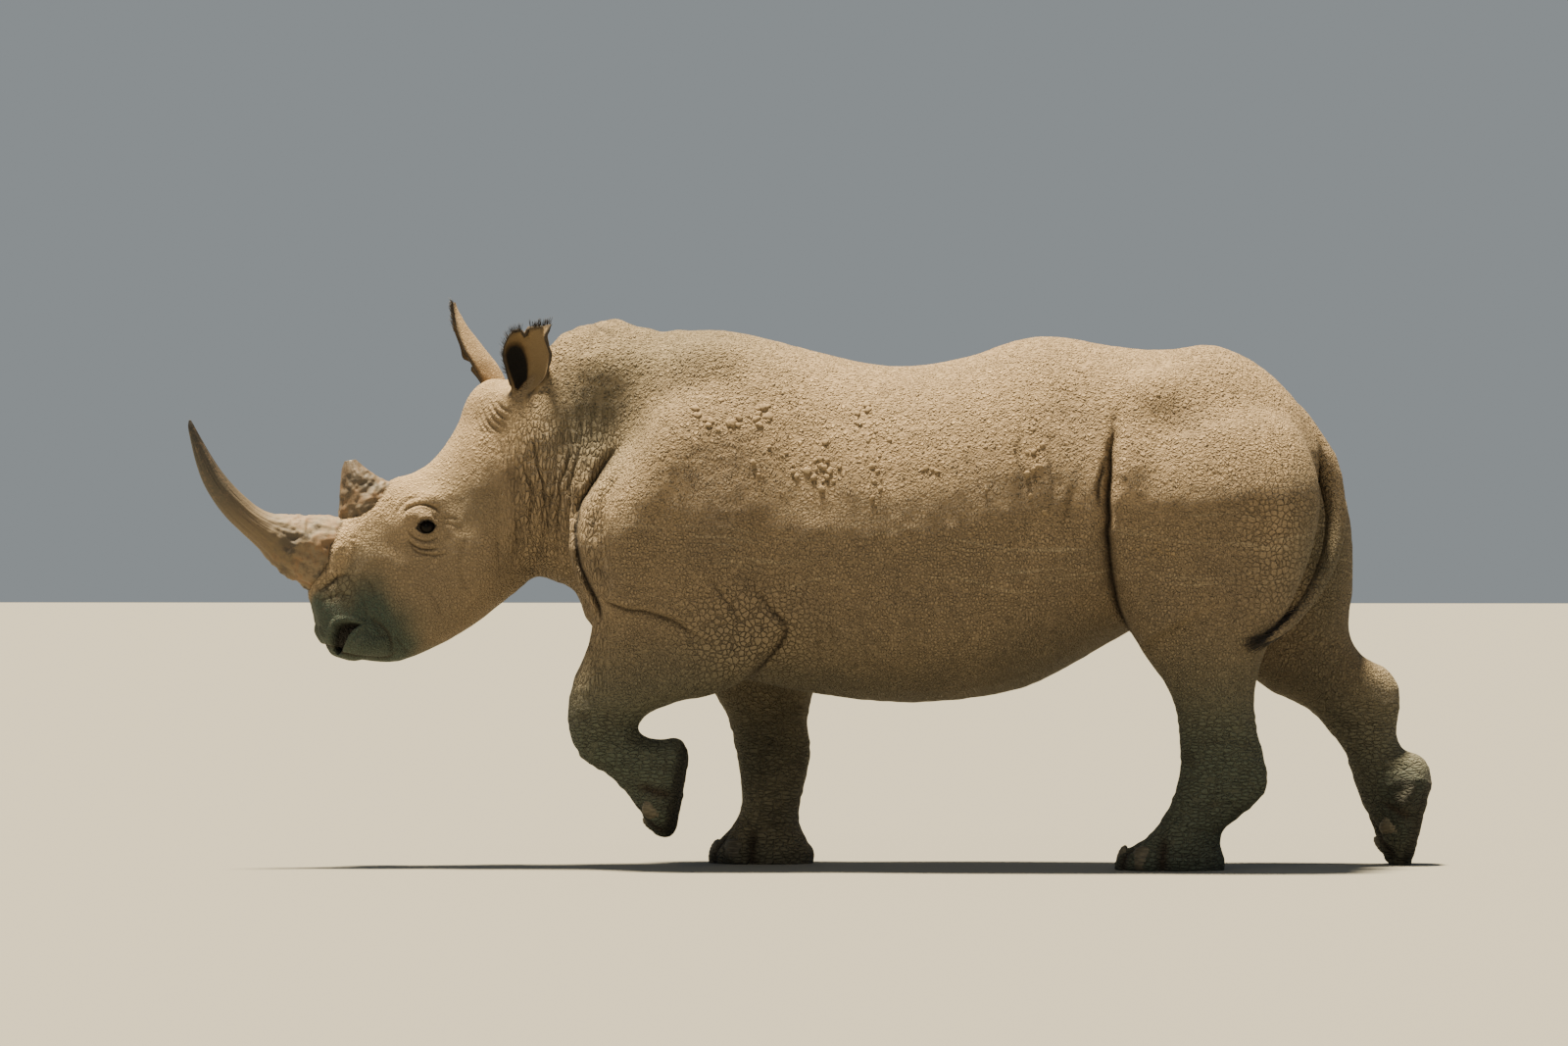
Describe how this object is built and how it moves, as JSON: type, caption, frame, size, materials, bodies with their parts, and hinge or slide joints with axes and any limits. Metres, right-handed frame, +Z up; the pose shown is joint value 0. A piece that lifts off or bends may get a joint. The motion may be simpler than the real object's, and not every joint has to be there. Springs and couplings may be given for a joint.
{
  "type": "white rhinoceros",
  "caption": "Adult white rhinoceros walking with one forefoot lifted: long low head, two horns, upright ears, heavy barrel body, short legs, tasselled tail.",
  "frame": {"origin": "on the floor under the middle of the animal's bounding box", "axes": "+X towards the animal's tail, +Y towards its right side, +Z up; it walks towards -X"},
  "size_m": [3.9116, 0.9744, 1.7838],
  "materials": {
    "hide": "matte",
    "foot_hide": "matte",
    "horn": "satin",
    "eye": "gloss",
    "toenail": "satin"
  },
  "bodies": {
    "root": {"head": "hide", "neck": "hide", "trunk": "hide", "tail": "hide", "horn_front": "horn", "horn_rear": "horn", "ear_left": "hide", "ear_right": "hide", "eye_left": "eye", "eye_right": "eye", "foreleg_left": "hide", "foreleg_right": "hide", "forefoot_left": "foot_hide", "forefoot_right": "foot_hide", "hind_leg_left": "hide", "hind_leg_right": "hide", "hindfoot_left": "foot_hide", "hindfoot_right": "foot_hide", "nail_fore_left_outer": "toenail", "nail_fore_left_middle": "toenail", "nail_fore_left_inner": "toenail", "nail_fore_right_outer": "toenail", "nail_fore_right_middle": "toenail", "nail_fore_right_inner": "toenail", "nail_hind_left_outer": "toenail", "nail_hind_left_middle": "toenail", "nail_hind_left_inner": "toenail", "nail_hind_right_outer": "toenail", "nail_hind_right_middle": "toenail", "nail_hind_right_inner": "toenail"}
  },
  "joints": []
}
